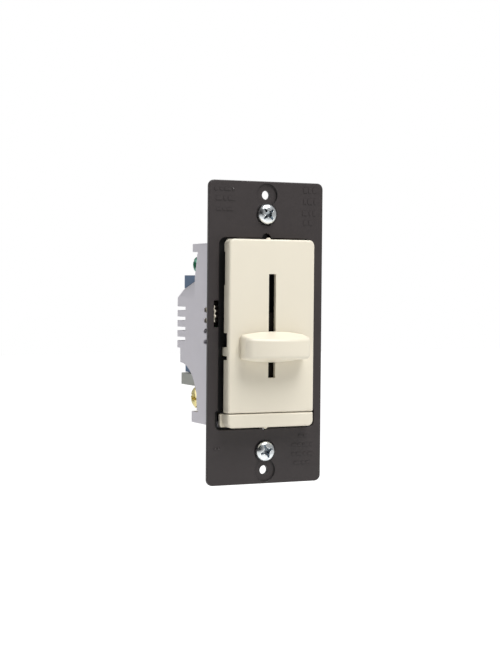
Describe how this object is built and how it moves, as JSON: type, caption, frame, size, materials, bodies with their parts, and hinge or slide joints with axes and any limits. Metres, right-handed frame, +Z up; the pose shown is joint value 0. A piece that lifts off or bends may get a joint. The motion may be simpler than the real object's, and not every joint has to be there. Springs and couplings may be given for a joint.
{
  "type": "slide dimmer switch",
  "caption": "Wall box slide dimmer: full strap, raised face with a slide knob in a slot, on/off push bar, trim wheel and vented rear housing.",
  "frame": {"origin": "centre of the mounting strap's back plane, where the strap lies against the wall", "axes": "+Z up, the face looks along -Y, the housing goes back along +Y into the wall, +X is to the right as seen from the front"},
  "size_m": [0.0444, 0.0447, 0.1062],
  "materials": {
    "brown_black_paint": "satin dark brown-black paint",
    "ivory_plastic": "moulded ivory, soft satin gloss",
    "grey_plastic": "moulded light grey",
    "barrier_plastic": "moulded warm grey",
    "blue_plastic": "moulded steel blue",
    "black_plastic": "moulded black",
    "black_aluminium": "black anodised",
    "zinc": "bright zinc plated steel",
    "brass": "bright brass",
    "green_screw": "green dyed zinc plating",
    "copper": "bare copper alloy",
    "fibre": "red-brown vulcanised fibre",
    "board": "glass-fibre circuit board with green resist",
    "phenolic": "brown phenolic with a carbon track",
    "ferrite": "pressed iron powder",
    "mica": "mica sheet",
    "capacitor_film": "dipped film capacitor",
    "resistor_paint": "tan resistor lacquer"
  },
  "bodies": {
    "chassis": {"mounting_strap": "brown_black_paint", "heat_sink_plate": "black_aluminium", "plate_rivet_lower_left": "zinc", "plate_rivet_lower_right": "zinc", "plate_rivet_upper_left": "zinc", "plate_rivet_upper_right": "zinc", "mounting_screw_lower": "zinc", "mounting_screw_upper": "zinc", "retaining_washer_lower": "fibre", "retaining_washer_upper": "fibre", "face_panel": "ivory_plastic", "housing": "grey_plastic", "housing_screw_lower_left": "zinc", "housing_screw_lower_right": "zinc", "housing_screw_upper_left": "zinc", "housing_screw_upper_right": "zinc", "upper_insulator": "blue_plastic", "lower_insulator": "blue_plastic", "terminal_barrier": "barrier_plastic", "line_terminal_screw": "brass", "load_terminal_screw": "brass", "line_terminal": "brass", "load_terminal": "brass", "ground_screw": "green_screw", "ground_terminal": "zinc", "slide_pot_frame": "zinc", "resistive_track": "phenolic", "circuit_board": "board", "triac": "black_plastic", "triac_insulator": "mica", "triac_rivet": "zinc", "choke_core": "ferrite", "choke_winding": "copper", "filter_capacitor": "capacitor_film", "timing_capacitor": "capacitor_film", "gate_resistor": "resistor_paint", "bleed_resistor": "resistor_paint", "diac": "resistor_paint", "trim_pot_body": "black_plastic", "switch_body": "black_plastic", "fixed_contact_left": "copper", "fixed_contact_right": "copper", "return_spring_left": "zinc", "return_spring_right": "zinc"},
    "slider": {"slide_knob": "ivory_plastic", "slide_carriage": "black_plastic", "slide_wiper": "copper"},
    "push_bar_body": {"push_bar": "ivory_plastic", "switch_plunger": "black_plastic", "moving_contact": "copper"},
    "trim_wheel_body": {"trim_wheel": "black_plastic"}
  },
  "joints": [
    {"name": "slider_travel", "type": "slide", "parent": "chassis", "child": "slider", "axis": [0, 0, 1], "range_m": [-0.0076, 0.0222]},
    {"name": "push_bar_press", "type": "slide", "parent": "chassis", "child": "push_bar_body", "axis": [0, 1, 0], "range_m": [0, 0.0018], "stiffness_N_per_m": 900, "springref_m": -0.0008, "deforming": ["return_spring_left", "return_spring_right"]},
    {"name": "trim_wheel_turn", "type": "hinge", "parent": "chassis", "child": "trim_wheel_body", "pos_m": [-0.0188, 0.004, 0.0068], "axis": [1, 0, 0], "range_deg": [-135, 135]}
  ]
}
